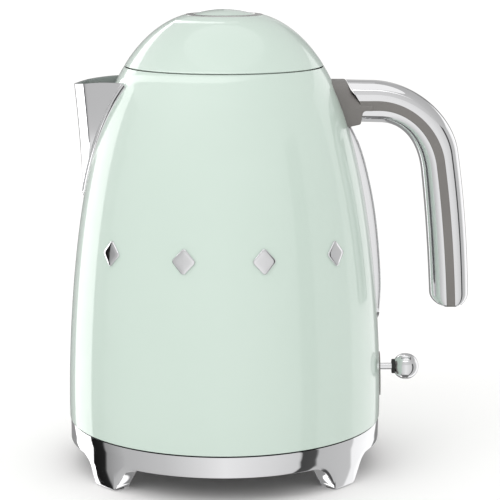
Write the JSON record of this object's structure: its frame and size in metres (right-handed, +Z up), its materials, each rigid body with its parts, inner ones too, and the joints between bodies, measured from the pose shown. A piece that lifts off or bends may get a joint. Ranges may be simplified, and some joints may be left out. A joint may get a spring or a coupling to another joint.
{
  "type": "cordless electric kettle",
  "caption": "Bell-shaped cordless kettle with a V spout, an open hooked handle, a side water window, a ball-ended switch and a turning power base on flared feet.",
  "frame": {"origin": "on the axis of the body and base, at the worktop under the rubber feet", "axes": "+Z up along the body, +X towards the handle and the switch, -X towards the spout, +Y to the back where the supply cord leaves"},
  "size_m": [0.2205, 0.1722, 0.2494],
  "materials": {
    "body_paint": "gloss enamel, pale mint green",
    "chrome": "polished",
    "steel": "brushed",
    "inner_steel": "drawn and satin",
    "grey_plastic": "satin moulded, warm grey",
    "dark_plastic": "fine moulded texture",
    "pale_plastic": "fine moulded texture",
    "rubber": "matt",
    "silicone": "translucent grey",
    "lens": "clear",
    "brass": "bright",
    "aluminium": "cast and machined",
    "screw_steel": "zinc plated"
  },
  "bodies": {
    "base": {"base_skirt": "chrome", "rubber_feet": "rubber", "base_deck": "dark_plastic", "base_bottom_cover": "dark_plastic", "base_screws": "screw_steel", "connector_housing": "dark_plastic", "base_contact_ring": "brass", "cord_gland": "rubber", "terminal_block": "pale_plastic", "terminal_screws": "brass"},
    "pillar": {"connector_pillar": "pale_plastic", "pillar_contact": "brass"},
    "kettle": {"body_shell": "body_paint", "neck_collar": "grey_plastic", "lid_hinge_pin": "steel", "heating_plate": "inner_steel", "heat_spreader": "aluminium", "heater_element": "steel", "heater_terminals": "brass", "steam_tube": "grey_plastic", "steam_tube_seal": "silicone", "connector_socket": "dark_plastic", "socket_contacts": "brass", "control_housing": "pale_plastic", "control_posts": "aluminium", "control_screws": "screw_steel", "bimetal_discs": "brass", "kettle_bottom_cover": "dark_plastic", "plate_studs": "steel", "bottom_cover_screws": "screw_steel", "switch_plate": "grey_plastic", "switch_pivot_pin": "steel", "trip_pin": "steel", "trip_bracket": "pale_plastic", "spout": "chrome", "filter_clips": "inner_steel", "window_bezel": "chrome", "window_lens": "lens", "window_gasket": "silicone", "handle_frame": "grey_plastic", "handle_outer_shell": "chrome", "handle_inner_shell": "chrome", "handle_screws": "screw_steel", "front_trims": "chrome"},
    "lid": {"lid_shell": "body_paint", "button_ring": "steel", "lid_inner_cover": "grey_plastic", "lid_seal": "silicone", "button_spring": "steel", "latch_spring": "steel"},
    "lid_button": {"button_cap": "body_paint", "button_stem": "grey_plastic"},
    "latch": {"latch_slider": "grey_plastic"},
    "switch_lever": {"switch_rocker": "grey_plastic", "lever_stem": "chrome", "lever_neck_ring": "rubber", "lever_ball": "chrome"},
    "trip_lever": {"trip_lever": "dark_plastic"},
    "scale_filter": {"filter_frame": "grey_plastic", "filter_mesh": "steel"}
  },
  "joints": [
    {"name": "kettle_swivel", "type": "hinge", "parent": "base", "child": "pillar", "pos_m": [0, 0, 0.02], "axis": [0, 0, 1], "continuous": true},
    {"name": "kettle_lift", "type": "slide", "parent": "pillar", "child": "kettle", "axis": [0, 0, 1], "range_m": [0, 0.08]},
    {"name": "lid_hinge", "type": "hinge", "parent": "kettle", "child": "lid", "pos_m": [0.049, 0, 0.22], "axis": [0, 1, 0], "range_deg": [0, 75]},
    {"name": "lid_button", "type": "slide", "parent": "lid", "child": "lid_button", "axis": [0, 0, -1], "range_m": [0, 0.003], "stiffness_N_per_m": 900, "springref_m": -0.002, "deforming": ["button_spring"]},
    {"name": "lid_latch", "type": "slide", "parent": "lid", "child": "latch", "axis": [1, 0, 0], "range_m": [0, 0.003]},
    {"name": "switch_rock", "type": "hinge", "parent": "kettle", "child": "switch_lever", "pos_m": [0.062, 0, 0.0518], "axis": [0, 1, 0], "range_deg": [0, 14]},
    {"name": "trip_rock", "type": "hinge", "parent": "kettle", "child": "trip_lever", "pos_m": [0.038, 0, 0.047], "axis": [0, 1, 0], "range_deg": [-9.3, 0]},
    {"name": "filter_slide", "type": "slide", "parent": "kettle", "child": "scale_filter", "axis": [1, 0, 0], "range_m": [0, 0.012]}
  ],
  "couplings": [
    {"joint": "lid_latch", "follows": "lid_button", "ratio": 1},
    {"joint": "trip_rock", "follows": "switch_rock", "ratio": -0.66}
  ]
}
